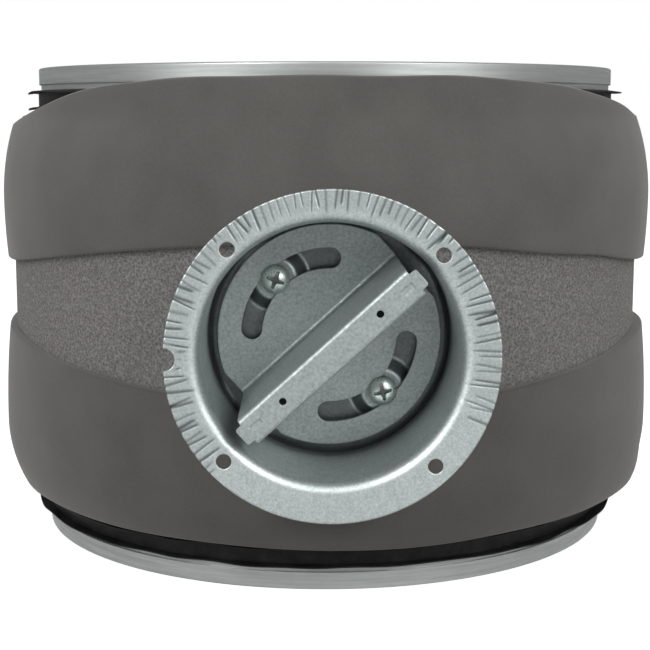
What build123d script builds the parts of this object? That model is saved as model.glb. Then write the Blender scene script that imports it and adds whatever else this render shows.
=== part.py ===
from build123d import *
import os
from math import asin, atan2, cos, degrees, hypot, radians, sin, sqrt

# Insulated volume damper for a 200 mm round duct, in millimetres.
# The duct axis is Z and the lower spigot ends at Z = 0. The setting mechanism faces -Y.
# A depth is measured forwards from the duct axis, along -Y.

# Duct sleeve, one rolled sheet with a hem at each end
spigot_r = 99.5
duct_height = 157.0
duct_sheet = 0.7
hem_length = 5.4
hem_roundness = 0.9  # rounding of the folded edge, as a share of the sheet

# Double-lip gaskets
gasket_step = 1.9  # bare tube between the hem and the strap
strap_width = 6.2
strap_thickness = 0.9
lip_reach = 4.4  # lip tip above the tube
lip_root = 0.9
lip_tip = 0.4
lip_lean = 0.6

# Foam sleeve, the base layer
foam_thickness = 10.3
upper_bulge = 1.0  # how far the base layer swells above and below its middle
lower_bulge = 1.9
upper_bulge_place = 0.526  # as a share of the way from the band's inner edge to the foam's end
lower_bulge_place = 0.618
end_taper = 3.8  # how much thinner the base layer is at its ends
foam_bevel = 2.0
foam_gap = 0.4  # from the gasket strap to the foam
foam_seam_angle = 130.0

# Foam bands, wrapped over the base layer and parting round the mechanism
band_thickness = 3.0
bare_strip_above = 13.9  # base layer left bare above and below the mechanism's axis, at the back
bare_strip_below = 7.3
upper_band_inset = 17.9  # from the ends of the duct to the bands, at the back
lower_band_bottom = 14.6
band_lift = 13.8  # how much the upper band's edges rise at the front
band_drop = 13.1  # how much the lower band's upper edge falls at the front
flap_lean = 1.6  # how far the upper band leans in above the base layer
band_seam_angle = 90.0
seam_gap = 0.6

# Mechanism cup, drawn from one sheet
cup_angle = 43.5  # turn of the cup's holes, screws and rivets from the horizontal
cup_sheet = 0.8
cup_r = 35.3  # inside of the wall
cup_flange_r = 45.4
flange_drop = 1.1  # how far the trimmed flange sits below and to the right of the cup's middle
flange_shift = 0.4
cup_height = 38.2  # from the floor to the flange's face
floor_bend = 2.0
cup_lip_bend = 2.7
flange_hole_r = 2.1
flange_hole_circle_r = 40.5
notch_r = 3.2
notch_angle = 180.0
boss_rise = 2.7
boss_top_r = 5.8
boss_base_r = 9.8

# Flat seat pressed out of the duct sleeve for the cup
seat_rise = 0.2  # from the tube's foremost line to the seat
seat_r = 30.0

# Setting handle, folded from one sheet
handle_angle = 42.2  # direction of the handle from the horizontal, as photographed
handle_sheet = 1.0
disc_r = 32.4
channel_width = 8.4
channel_length = 60.0
channel_height = 38.4  # from the half-discs to the grip's face
base_bend = 1.4
grip_bend = 1.3
tongue_length = 2.2
tongue_width = 5.4
tongue_round = 0.8
grip_hole_r = 1.0
grip_hole_offset = 17.4
press_mark_length = 3.8
press_mark_width = 1.7
press_mark_depth = 0.3
press_mark_offset = 27.0
slot_r = 22.6
slot_width = 6.0
swing = 90.0  # from shut to open

# Locking screws and their square nuts
screw_r = 2.0
screw_head_r = 4.15
screw_head_height = 2.8
screw_head_rim = 1.1
recess_length = 4.6
recess_width = 0.9
recess_depth = 1.5
upper_recess_turn = 25.0
lower_recess_turn = 60.0
nut_width = 7.0
nut_height = 2.2
screw_tip_gap = 0.3

# Shaft, blade and bushes
shaft_r = 5.0
shaft_flat = 2.0  # height of the blade's flat above the shaft's axis
shaft_tongue_length = 23.5
blade_sheet = 1.0
blade_gap = 1.2  # from the blade's rim to the bore
blade_rivet_pitch = 60.0
blade_rivet_r = 2.0
blade_rivet_head_r = 3.6
blade_rivet_head_height = 1.5
bush_r = 8.0
bush_flange_r = 11.0
bush_flange_thickness = 1.5
bush_proud = 1.2
cap_proud = 3.0
cap_thickness = 1.5
seal_r = 6.9
seal_width = 1.8

# Cup rivets
cup_rivet_r = 1.6
cup_rivet_head_r = 3.0
cup_rivet_head_height = 1.0
cup_rivet_edge = 0.8  # from a rivet's head to the seat's wall
cup_rivet_angle = 25.0  # to each side of the cup's own direction

# Clearances
running_fit = 0.05  # radial, round the shaft, the screws and the bushes
glue_gap = 0.1  # between the layers of foam and the tube
face_gap = 0.1  # between flat faces that slide past each other
soft_gap = 0.5  # from the foam to the metal that it is cut round
stop_gap = 0.3  # between a locking screw and the end of its slot
sweep_gap = 1.0  # from the blade's notches to the bushes

# Worked-out sizes
tube_r = spigot_r - duct_sheet
bore_r = tube_r - duct_sheet
axis_height = duct_height / 2
strap_start = hem_length + gasket_step
foam_inset = strap_start + strap_width + foam_gap
foam_in_r = tube_r + glue_gap
foam_mid_r = foam_in_r + foam_thickness
foam_end_r = foam_mid_r - end_taper
foam_top = duct_height - foam_inset - foam_bevel
foam_bottom = foam_inset + foam_bevel
upper_bulge_r = foam_mid_r + upper_bulge
lower_bulge_r = foam_mid_r + lower_bulge
upper_band_bottom = axis_height + bare_strip_above
upper_band_top = duct_height - upper_band_inset
lower_band_top = axis_height - bare_strip_below
upper_bulge_height = upper_band_bottom + upper_bulge_place * (foam_top - upper_band_bottom)
lower_bulge_height = lower_band_top - lower_bulge_place * (lower_band_top - foam_bottom)
flap_top = upper_band_top + band_lift
reach = foam_mid_r + max(upper_bulge, lower_bulge) + band_thickness + foam_thickness

seat_depth = tube_r + seat_rise
seat_inner = seat_depth - duct_sheet
floor_depth = seat_depth + cup_sheet
cup_flange_depth = floor_depth + cup_height
boss_depth = floor_depth + boss_rise
boss_inner = boss_depth - cup_sheet
disc_back = boss_depth + face_gap
disc_front = disc_back + handle_sheet
handle_depth = disc_front + channel_height
grip_back = handle_depth - handle_sheet
head_back = disc_front + face_gap
screw_tip = seat_depth + screw_tip_gap - head_back  # from under the head
slot_play = slot_width / 2 - screw_r - stop_gap
slot_half_angle = swing / 2 - degrees(asin(slot_play / slot_r))
cup_out_r = cup_r + cup_sheet
flange_blank_r = cup_flange_r + hypot(flange_shift, flange_drop)
cup_rivet_circle_r = seat_r - duct_sheet - cup_rivet_edge - cup_rivet_head_r

blade_r = bore_r - blade_gap
bush_bore_r = shaft_r + running_fit
bush_front = floor_depth + bush_proud
rear_flange_face = sqrt(bore_r**2 - bush_flange_r**2) - running_fit
cap_end = tube_r + cap_proud
shaft_rear = cap_end - cap_thickness - face_gap
shaft_shoulder = disc_back - face_gap
shaft_tongue_depth = shaft_shoulder + shaft_tongue_length
blade_end = rear_flange_face - bush_flange_thickness - sweep_gap

# Planes: "face" looks at the mechanism from the front, "dial" is face turned to the handle and
# "cup_dial" is face turned to the cup's holes
axis_point = (0, 0, axis_height)
spindle = Axis(axis_point, (0, -1, 0))
face = Plane(origin=axis_point, x_dir=(1, 0, 0), z_dir=(0, -1, 0))
dial, cup_dial = (
    Plane(origin=axis_point, x_dir=(cos(radians(turn)), 0, sin(radians(turn))), z_dir=(0, -1, 0))
    for turn in (handle_angle, cup_angle)
)
flange_centre = face.from_local_coords((flange_shift, -flange_drop, cup_flange_depth))
flange_face = Plane(origin=flange_centre, x_dir=face.x_dir, z_dir=face.z_dir)
half_section = Plane(origin=axis_point, x_dir=(1, 0, 0), z_dir=(0, 0, -1))
fold_section = Plane(origin=axis_point, x_dir=dial.y_dir, z_dir=dial.x_dir)
blade_plane = Plane(origin=axis_point, x_dir=dial.x_dir, z_dir=dial.y_dir)
middle = Plane.XY.offset(axis_height)

# Places on the cup's dial
screw_places = {"upper": (0, slot_r), "lower": (0, -slot_r)}
cup_rivet_places = [
    (side * cup_rivet_circle_r * cos(radians(turn)), cup_rivet_circle_r * sin(radians(turn)))
    for side in (1, -1)
    for turn in (cup_rivet_angle, -cup_rivet_angle)
]


def finish(piece, label):
    """Name a finished piece and write it to its own file."""
    piece.label = label
    export_step(piece, f"parts/{label}.step")


# Duct sleeve
with BuildPart() as duct_sleeve:
    Cylinder(tube_r, duct_height, align=(Align.CENTER, Align.CENTER, Align.MIN))
    with Locations((0, 0, 0), (0, 0, duct_height - hem_length)):
        Cylinder(spigot_r, hem_length, align=(Align.CENTER, Align.CENTER, Align.MIN))
    with BuildSketch(face):
        Circle(seat_r)
    extrude(amount=seat_depth)
    Cylinder(
        bore_r,
        duct_height,
        align=(Align.CENTER, Align.CENTER, Align.MIN),
        mode=Mode.SUBTRACT,
    )
    with BuildSketch(face):
        Circle(seat_r - duct_sheet)
    extrude(amount=seat_inner, mode=Mode.SUBTRACT)
    rims = duct_sleeve.edges().filter_by(GeomType.CIRCLE).group_by(Axis.Z)
    fillet(rims[0] + rims[-1], radius=hem_roundness * duct_sheet)
    with BuildSketch(face):
        Circle(bush_r + running_fit)
    extrude(amount=spigot_r, both=True, mode=Mode.SUBTRACT)
    with BuildSketch(cup_dial):
        with Locations(*cup_rivet_places):
            Circle(cup_rivet_r + running_fit)
    extrude(amount=seat_depth, mode=Mode.SUBTRACT)
finish(duct_sleeve.part, "duct_sleeve")

# Gaskets: a strap with a lip at each side, both leaning away from the spigot's end
with BuildPart() as upper_gasket:
    strap_r = tube_r + glue_gap + strap_thickness
    lip_r = tube_r + lip_reach
    first_lip = duct_height - strap_start
    second_lip = first_lip - strap_width + lip_root
    with BuildSketch(Plane.XZ):
        with BuildLine():
            Polyline(
                (tube_r + glue_gap, first_lip),
                (strap_r, first_lip),
                (lip_r, first_lip - lip_lean),
                (lip_r, first_lip - lip_lean - lip_tip),
                (strap_r, first_lip - lip_root),
                (strap_r, second_lip),
                (lip_r, second_lip - lip_lean),
                (lip_r, second_lip - lip_lean - lip_tip),
                (strap_r, second_lip - lip_root),
                (tube_r + glue_gap, second_lip - lip_root),
                close=True,
            )
        make_face()
    revolve(axis=Axis.Z)
finish(upper_gasket.part, "upper_gasket")

with BuildPart() as lower_gasket:
    mirror(upper_gasket.part, about=middle)
finish(lower_gasket.part, "lower_gasket")

# Tools for the foam: the cut round the cup and the butt joints of the wrapped layers
with BuildPart() as cup_opening:
    with BuildSketch(face):
        Circle(cup_out_r + soft_gap)
    extrude(amount=cup_flange_depth)


def butt_joint(angle):
    """Thin wedge of air where the two ends of a wrapped layer meet, at this angle about Z."""
    with BuildPart() as joint:
        with BuildSketch(Plane.XY.rotated((0, 0, angle))):
            Rectangle(reach, seam_gap, align=(Align.MIN, Align.CENTER))
        extrude(amount=duct_height)
    return joint.part


def band_limits(bottom, bottom_rise, top, top_rise):
    """Space between two edges, level at the back and rising as parabolas to the front."""
    with BuildPart() as limits:
        with BuildSketch(Plane.YZ):
            with BuildLine():
                lower_edge = Bezier((0, bottom), (-reach / 2, bottom), (-reach, bottom + bottom_rise))
                upper_edge = Bezier((0, top), (-reach / 2, top), (-reach, top + top_rise))
                Line(lower_edge @ 1, upper_edge @ 1)
                Polyline((0, bottom), (reach, bottom), (reach, top), (0, top))
            make_face()
        extrude(amount=reach, both=True)
    return limits.part


def rise_at_reach(rise, band_r):
    """Rise of an edge where it leaves the band, carried on along its parabola to the reach."""
    return rise * (reach / band_r) ** 2


# Foam sleeve
with BuildPart() as foam_sleeve:
    with BuildSketch(Plane.XZ):
        with BuildLine():
            lower_end = TangentArc(
                (lower_bulge_r, lower_bulge_height), (foam_end_r, foam_bottom), tangent=(0, -1)
            )
            lower_side = TangentArc(
                (lower_bulge_r, lower_bulge_height), (foam_mid_r, lower_band_top), tangent=(0, 1)
            )
            upper_side = TangentArc(
                (upper_bulge_r, upper_bulge_height), (foam_mid_r, upper_band_bottom), tangent=(0, -1)
            )
            upper_end = TangentArc(
                (upper_bulge_r, upper_bulge_height), (foam_end_r, foam_top), tangent=(0, 1)
            )
            Line(lower_side @ 1, upper_side @ 1)
            Polyline(
                upper_end @ 1,
                (foam_in_r, foam_top + foam_bevel),
                (foam_in_r, foam_bottom - foam_bevel),
                lower_end @ 1,
            )
        make_face()
    revolve(axis=Axis.Z)
    add(cup_opening.part, mode=Mode.SUBTRACT)
    with BuildSketch(face):
        Circle(bush_r + soft_gap)
    extrude(amount=-(cap_end + soft_gap), mode=Mode.SUBTRACT)
    add(butt_joint(foam_seam_angle), mode=Mode.SUBTRACT)
finish(foam_sleeve.part, "foam_sleeve")

# Upper foam band: it lies on the base layer and stands free above it at the front
with BuildPart() as upper_foam_band:
    with BuildSketch(Plane.XZ):
        with BuildLine():
            ends = []
            for lift in (glue_gap, glue_gap + band_thickness):
                side = TangentArc(
                    (upper_bulge_r + lift, upper_bulge_height),
                    (foam_mid_r + lift, upper_band_bottom),
                    tangent=(0, -1),
                )
                shoulder = TangentArc(
                    (upper_bulge_r + lift, upper_bulge_height),
                    (foam_end_r + lift, foam_top),
                    tangent=(0, 1),
                )
                flap = Line(shoulder @ 1, (foam_end_r + lift - flap_lean, flap_top))
                ends.append((side @ 1, flap @ 1))
            Line(ends[0][0], ends[1][0])
            Line(ends[0][1], ends[1][1])
        make_face()
    revolve(axis=Axis.Z)
    upper_rise = rise_at_reach(band_lift, upper_bulge_r + band_thickness)
    add(
        band_limits(upper_band_bottom, upper_rise, upper_band_top, upper_rise),
        mode=Mode.INTERSECT,
    )
    add(cup_opening.part, mode=Mode.SUBTRACT)
    add(butt_joint(band_seam_angle), mode=Mode.SUBTRACT)
finish(upper_foam_band.part, "upper_foam_band")

# Lower foam band
with BuildPart() as lower_foam_band:
    with BuildSketch(Plane.XZ):
        with BuildLine():
            ends = []
            for lift in (glue_gap, glue_gap + band_thickness):
                side = TangentArc(
                    (lower_bulge_r + lift, lower_bulge_height),
                    (foam_mid_r + lift, lower_band_top),
                    tangent=(0, 1),
                )
                shoulder = TangentArc(
                    (lower_bulge_r + lift, lower_bulge_height),
                    (foam_end_r + lift, foam_bottom),
                    tangent=(0, -1),
                )
                skirt = Line(shoulder @ 1, (foam_end_r + lift, lower_band_bottom))
                ends.append((side @ 1, skirt @ 1))
            Line(ends[0][0], ends[1][0])
            Line(ends[0][1], ends[1][1])
        make_face()
    revolve(axis=Axis.Z)
    lower_fall = rise_at_reach(-band_drop, lower_bulge_r + band_thickness)
    add(
        band_limits(lower_band_bottom, 0, lower_band_top, lower_fall),
        mode=Mode.INTERSECT,
    )
    add(cup_opening.part, mode=Mode.SUBTRACT)
    add(butt_joint(band_seam_angle), mode=Mode.SUBTRACT)
finish(lower_foam_band.part, "lower_foam_band")

# Mechanism cup
with BuildPart() as mechanism_cup:
    with BuildSketch(half_section):
        with BuildLine():
            FilletPolyline(
                (0, seat_depth),
                (cup_out_r, seat_depth),
                (cup_out_r, cup_flange_depth - cup_sheet),
                (flange_blank_r, cup_flange_depth - cup_sheet),
                (flange_blank_r, cup_flange_depth),
                (cup_r, cup_flange_depth),
                (cup_r, floor_depth),
                (0, floor_depth),
                close=True,
                radius=[
                    0, floor_bend + cup_sheet, cup_lip_bend - cup_sheet, 0,
                    0, cup_lip_bend, floor_bend, 0,
                ],
            )
        make_face()
    revolve(axis=spindle)
    with BuildSketch(flange_face):
        Circle(cup_flange_r)
        with PolarLocations(cup_flange_r, 1, start_angle=notch_angle):
            Circle(notch_r, mode=Mode.SUBTRACT)
        with PolarLocations(flange_hole_circle_r, 4, start_angle=cup_angle):
            Circle(flange_hole_r, mode=Mode.SUBTRACT)
    extrude(amount=-cup_flange_depth, mode=Mode.INTERSECT)
    boss_slope = degrees(atan2(boss_base_r - boss_top_r, boss_rise))
    with BuildSketch(cup_dial.offset(floor_depth)):
        with Locations(*screw_places.values()):
            Circle(boss_base_r)
    extrude(amount=boss_rise, taper=boss_slope)
    with BuildSketch(cup_dial.offset(seat_depth)):
        with Locations(*screw_places.values()):
            Circle(boss_base_r)
    extrude(amount=boss_rise, taper=boss_slope, mode=Mode.SUBTRACT)
    with BuildSketch(cup_dial):
        Circle(bush_r + running_fit)
        with Locations(*cup_rivet_places):
            Circle(cup_rivet_r + running_fit)
        with Locations(*screw_places.values()):
            Circle(screw_r + stop_gap)
    extrude(amount=cup_flange_depth, mode=Mode.SUBTRACT)
finish(mechanism_cup.part, "mechanism_cup")

# Cup rivets, one through each hole of the cup's floor and the seat
with BuildPart() as cup_rivets:
    with BuildSketch(cup_dial.offset(seat_inner - cup_rivet_head_height)):
        with Locations(*cup_rivet_places):
            Circle(cup_rivet_r)
    extrude(amount=floor_depth - seat_inner + 2 * cup_rivet_head_height)
    for head_depth in (seat_inner - cup_rivet_head_height, floor_depth):
        with BuildSketch(cup_dial.offset(head_depth)):
            with Locations(*cup_rivet_places):
                Circle(cup_rivet_head_r)
        extrude(amount=cup_rivet_head_height)
finish(cup_rivets.part, "cup_rivets")

# Setting handle: an omega fold carried along the handle, its feet trimmed to half-discs
slot_lines = [
    CenterArc((0, 0), slot_r, middle_angle - slot_half_angle, 2 * slot_half_angle)
    for middle_angle in (90, 270)
]
with BuildPart() as setting_handle:
    half_width = channel_width / 2
    inner_half = half_width - handle_sheet
    with BuildSketch(fold_section):
        with BuildLine():
            FilletPolyline(
                (-disc_r, disc_front),
                (-half_width, disc_front),
                (-half_width, handle_depth),
                (half_width, handle_depth),
                (half_width, disc_front),
                (disc_r, disc_front),
                (disc_r, disc_back),
                (inner_half, disc_back),
                (inner_half, grip_back),
                (-inner_half, grip_back),
                (-inner_half, disc_back),
                (-disc_r, disc_back),
                close=True,
                radius=[
                    0, base_bend, grip_bend, grip_bend, base_bend, 0,
                    0, base_bend + handle_sheet, grip_bend - handle_sheet,
                    grip_bend - handle_sheet, base_bend + handle_sheet, 0,
                ],
            )
        make_face()
    extrude(amount=channel_length / 2, both=True)
    with BuildSketch(dial):
        Circle(disc_r)
    extrude(amount=handle_depth, mode=Mode.INTERSECT)
    with BuildSketch(dial.offset(grip_back)):
        RectangleRounded(channel_length + 2 * tongue_length, tongue_width, tongue_round)
    extrude(amount=handle_sheet)
    with BuildSketch(dial.offset(grip_back)):
        with Locations((grip_hole_offset, 0), (-grip_hole_offset, 0)):
            Circle(grip_hole_r)
    extrude(amount=handle_sheet, mode=Mode.SUBTRACT)
    with BuildSketch(dial.offset(handle_depth)):
        with Locations((press_mark_offset, 0), (-press_mark_offset, 0)):
            Rectangle(press_mark_length, press_mark_width)
    extrude(amount=-press_mark_depth, mode=Mode.SUBTRACT)
    with BuildSketch(dial.offset(disc_back)):
        for slot_line in slot_lines:
            SlotArc(slot_line, slot_width)
    extrude(amount=handle_sheet, mode=Mode.SUBTRACT)
finish(setting_handle.part, "setting_handle")


def locking_screw(place, recess_turn):
    """Pan-head screw with a cross recess, standing on the cup's dial at this place."""
    under_head = cup_dial.offset(head_back)
    place_plane = Plane(
        origin=under_head.from_local_coords(place), x_dir=cup_dial.x_dir, z_dir=cup_dial.z_dir
    )
    half = Plane(origin=place_plane.origin, x_dir=cup_dial.x_dir, z_dir=-cup_dial.y_dir)
    with BuildPart() as screw:
        with BuildSketch(half):
            with BuildLine():
                dome = TangentArc(
                    (0, screw_head_height), (screw_head_r, screw_head_rim), tangent=(1, 0)
                )
                Polyline(
                    dome @ 0,
                    (0, screw_tip),
                    (screw_r, screw_tip),
                    (screw_r, 0),
                    (screw_head_r, 0),
                    dome @ 1,
                )
            make_face()
        revolve(axis=Axis(place_plane.origin, place_plane.z_dir))
        with BuildSketch(place_plane.offset(screw_head_height)):
            for arm_turn in (recess_turn, recess_turn + 90):
                Rectangle(recess_length, recess_width, rotation=arm_turn)
        extrude(amount=-recess_depth, mode=Mode.SUBTRACT)
    return screw.part


def locking_nut(place):
    """Thin square nut under the pressed boss at this place on the cup's dial."""
    with BuildPart() as nut:
        with BuildSketch(cup_dial.offset(boss_inner)):
            with Locations(place):
                Rectangle(nut_width, nut_width)
                Circle(screw_r + running_fit, mode=Mode.SUBTRACT)
        extrude(amount=-nut_height)
    return nut.part


recess_turns = {"upper": upper_recess_turn, "lower": lower_recess_turn}
for name, place in screw_places.items():
    finish(locking_screw(place, recess_turns[name]), f"{name}_locking_screw")
    finish(locking_nut(place), f"{name}_locking_nut")

# Blade shaft: round in the bushes, flat under the blade, a tongue inside the handle's channel
with BuildPart() as blade_shaft:
    with BuildSketch(face.offset(-shaft_rear)):
        Circle(shaft_r)
    extrude(amount=shaft_rear + shaft_shoulder)
    with BuildSketch(dial.offset(shaft_shoulder)):
        Circle(shaft_r)
        Rectangle(2 * shaft_r, channel_width - 2 * handle_sheet, mode=Mode.INTERSECT)
    extrude(amount=shaft_tongue_depth - shaft_shoulder)
    with BuildSketch(blade_plane.offset(shaft_flat)):
        Rectangle(2 * shaft_r, 2 * (blade_end + face_gap))
    extrude(amount=shaft_r, mode=Mode.SUBTRACT)
    with BuildSketch(blade_plane):
        with GridLocations(0, blade_rivet_pitch, 1, 3):
            Circle(blade_rivet_r + running_fit)
    extrude(amount=2 * shaft_r, both=True, mode=Mode.SUBTRACT)
finish(blade_shaft.part, "blade_shaft")

# Damper blade: a disc on the shaft's flat, notched to clear the bushes
with BuildPart() as damper_blade:
    with BuildSketch(blade_plane.offset(shaft_flat)):
        Circle(blade_r)
        with GridLocations(0, 2 * blade_r, 1, 2):
            Rectangle(2 * (bush_flange_r + sweep_gap), 2 * (blade_r - blade_end), mode=Mode.SUBTRACT)
        with GridLocations(0, blade_rivet_pitch, 1, 3):
            Circle(blade_rivet_r + running_fit, mode=Mode.SUBTRACT)
    extrude(amount=blade_sheet)
finish(damper_blade.part, "damper_blade")

# Blade rivets, set flush in the round side of the shaft
with BuildPart() as blade_rivets:
    with BuildSketch(blade_plane.offset(shaft_flat + blade_sheet)):
        with GridLocations(0, blade_rivet_pitch, 1, 3):
            Circle(blade_rivet_r)
    extrude(amount=-(shaft_flat + blade_sheet + shaft_r - stop_gap))
    with BuildSketch(blade_plane.offset(shaft_flat + blade_sheet)):
        with GridLocations(0, blade_rivet_pitch, 1, 3):
            Circle(blade_rivet_head_r)
    extrude(amount=blade_rivet_head_height)
finish(blade_rivets.part, "blade_rivets")

# Front bush, through the seat and the cup's floor, with a pocket for the shaft seal
with BuildPart() as front_bush:
    with BuildSketch(half_section):
        with BuildLine():
            Polyline(
                (bush_bore_r, seat_inner - bush_flange_thickness),
                (bush_flange_r, seat_inner - bush_flange_thickness),
                (bush_flange_r, seat_inner),
                (bush_r, seat_inner),
                (bush_r, bush_front),
                (seal_r, bush_front),
                (seal_r, bush_front - seal_width),
                (bush_bore_r, bush_front - seal_width),
                close=True,
            )
        make_face()
    revolve(axis=spindle)
finish(front_bush.part, "front_bush")

with BuildPart() as shaft_seal:
    with BuildSketch(half_section):
        with BuildLine():
            Polyline(
                (bush_bore_r, bush_front - seal_width),
                (seal_r - running_fit, bush_front - seal_width),
                (seal_r - running_fit, bush_front),
                (bush_bore_r, bush_front),
                close=True,
            )
        make_face()
    revolve(axis=spindle)
finish(shaft_seal.part, "shaft_seal")

# Rear bush, a closed cap through the back of the duct sleeve
with BuildPart() as rear_bush:
    with BuildSketch(half_section):
        with BuildLine():
            Polyline(
                (bush_bore_r, bush_flange_thickness - rear_flange_face),
                (bush_flange_r, bush_flange_thickness - rear_flange_face),
                (bush_flange_r, -rear_flange_face),
                (bush_r, -rear_flange_face),
                (bush_r, -cap_end),
                (0, -cap_end),
                (0, cap_thickness - cap_end),
                (bush_bore_r, cap_thickness - cap_end),
                close=True,
            )
        make_face()
    revolve(axis=spindle)
finish(rear_bush.part, "rear_bush")
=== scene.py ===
"""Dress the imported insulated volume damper: foam jacket, lip gaskets, drawn cup, screws, finishes.

Sizes in the classes are millimetres in the part's own frame: Z is the duct's axis, the lower spigot
ends at Z = 0 and the setting mechanism faces -Y. Meshes are written in metres.
"""

import logging
import math
from dataclasses import dataclass, field
from enum import Enum
from typing import Any, Callable

import bmesh
import bpy
import numpy as np
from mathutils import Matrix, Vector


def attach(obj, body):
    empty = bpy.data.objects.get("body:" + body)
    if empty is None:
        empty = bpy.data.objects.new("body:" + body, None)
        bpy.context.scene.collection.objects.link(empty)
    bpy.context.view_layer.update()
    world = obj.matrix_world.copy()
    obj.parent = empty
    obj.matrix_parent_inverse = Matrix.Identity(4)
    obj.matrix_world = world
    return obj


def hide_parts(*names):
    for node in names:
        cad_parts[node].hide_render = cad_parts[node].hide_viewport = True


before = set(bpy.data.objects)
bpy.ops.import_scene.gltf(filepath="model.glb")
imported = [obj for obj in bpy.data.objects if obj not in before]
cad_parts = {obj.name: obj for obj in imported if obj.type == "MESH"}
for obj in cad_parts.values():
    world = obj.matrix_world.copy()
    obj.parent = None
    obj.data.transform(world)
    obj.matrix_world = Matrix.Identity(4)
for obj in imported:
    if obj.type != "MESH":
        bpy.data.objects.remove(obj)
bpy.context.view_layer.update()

log = logging.getLogger("damper")

Pair = tuple[float, float]
Place = tuple[float, float, float]
Tones = tuple[tuple[float, str], ...]  # stops of a colour ramp: position and sRGB hex colour
Constants = tuple[tuple[str, float], ...]  # names and values of a shader's inputs

MM = 0.001
AXIS_HEIGHT = 78.5  # of the mechanism, above the lower spigot's end
CUP_DEG = 43.5  # turn of the cup's holes and screws from the horizontal
SCREW_CIRCLE_R = 22.6  # of the screws and the bosses under them
MERGE_MM = 0.002  # points nearer than this are one
SLIVER_MM = 0.0005  # edges shorter than this are dissolved
RIPPLE_SLANT = 0.06  # largest slant of a ripple's waves, in radians per millimetre


class Slot(Enum):
    """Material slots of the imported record."""

    GALVANISED = "galvanised_steel"
    ZINC = "zinc_plated_steel"
    RUBBER = "gasket_rubber"
    BASE_FOAM = "base_foam"
    BAND_FOAM = "band_foam"


class Body(Enum):
    """Bodies that pieces ride on."""

    CASING = "casing"
    UPPER_SCREW = "upper_screw"
    LOWER_SCREW = "lower_screw"


class Coarse(Enum):
    """Coarse patterns of a finish: node type, its settings and the output that is used."""

    CLOUDS = ("TexNoise", {"Detail": 3.0, "Roughness": 0.5}, "Fac")
    CELLS = ("TexVoronoi", {}, "Distance")
    SPANGLE = ("TexVoronoi", {}, "Color")


def linear(hex_colour: str) -> tuple[float, float, float, float]:
    """Turn an sRGB hex colour into linear RGBA.

    Each channel c follows the sRGB curve: c / 12.92 up to 0.04045, else ((c + 0.055) / 1.055)^2.4.

    Args:
        hex_colour: Colour as "#rrggbb".

    Returns:
        The linear red, green and blue, with alpha 1.
    """
    channels = np.array([int(hex_colour[i : i + 2], 16) for i in (1, 3, 5)]) / 255
    low, high = channels / 12.92, ((channels + 0.055) / 1.055) ** 2.4
    return (*np.where(channels <= 0.04045, low, high).tolist(), 1.0)


def add_node(
    tree: bpy.types.NodeTree,
    kind: str,
    settings: dict[Any, Any] | None = None,
    links: dict[Any, bpy.types.NodeSocket] | None = None,
) -> bpy.types.Node:
    """Add a shader node, give it its settings and link its inputs.

    Args:
        tree: Node tree that the node goes into.
        kind: Node type after the prefix "ShaderNode".
        settings: Attributes by name, or input values by name or index. "ramp" takes the stops of a
            colour ramp.
        links: Output sockets by the name or index of the input that they feed.

    Returns:
        The new node.
    """
    node = tree.nodes.new("ShaderNode" + kind)
    for key, value in (settings or {}).items():
        if key == "ramp":
            stops = node.color_ramp.elements
            while len(stops) < len(value):
                stops.new(1.0)
            for stop, (position, colour) in zip(stops, value):
                stop.position, stop.color = position, linear(colour)
        elif isinstance(key, str) and hasattr(node, key):
            setattr(node, key, value)
        else:
            node.inputs[key].default_value = value
    for key, socket in (links or {}).items():
        tree.links.new(socket, node.inputs[key])
    return node


def per_metre(size_mm: float) -> float:
    """Return the texture scale at which one pattern cell is size_mm wide."""
    return 1.0 / (size_mm * MM)


def new_material(
    name: str, constants: Constants
) -> tuple[bpy.types.Material, bpy.types.Node, bpy.types.NodeSocket]:
    """Start a material with its constants set on the shader's own sockets.

    Args:
        name: Name of the material.
        constants: Names and values of the shader's inputs.

    Returns:
        The material, its Principled shader and the Object coordinates' socket.
    """
    material = bpy.data.materials.new(name)
    material.use_nodes = True
    shader = material.node_tree.nodes["Principled BSDF"]
    for key, value in constants:
        shader.inputs[key].default_value = value
    return material, shader, add_node(material.node_tree, "TexCoord").outputs["Object"]


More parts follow.
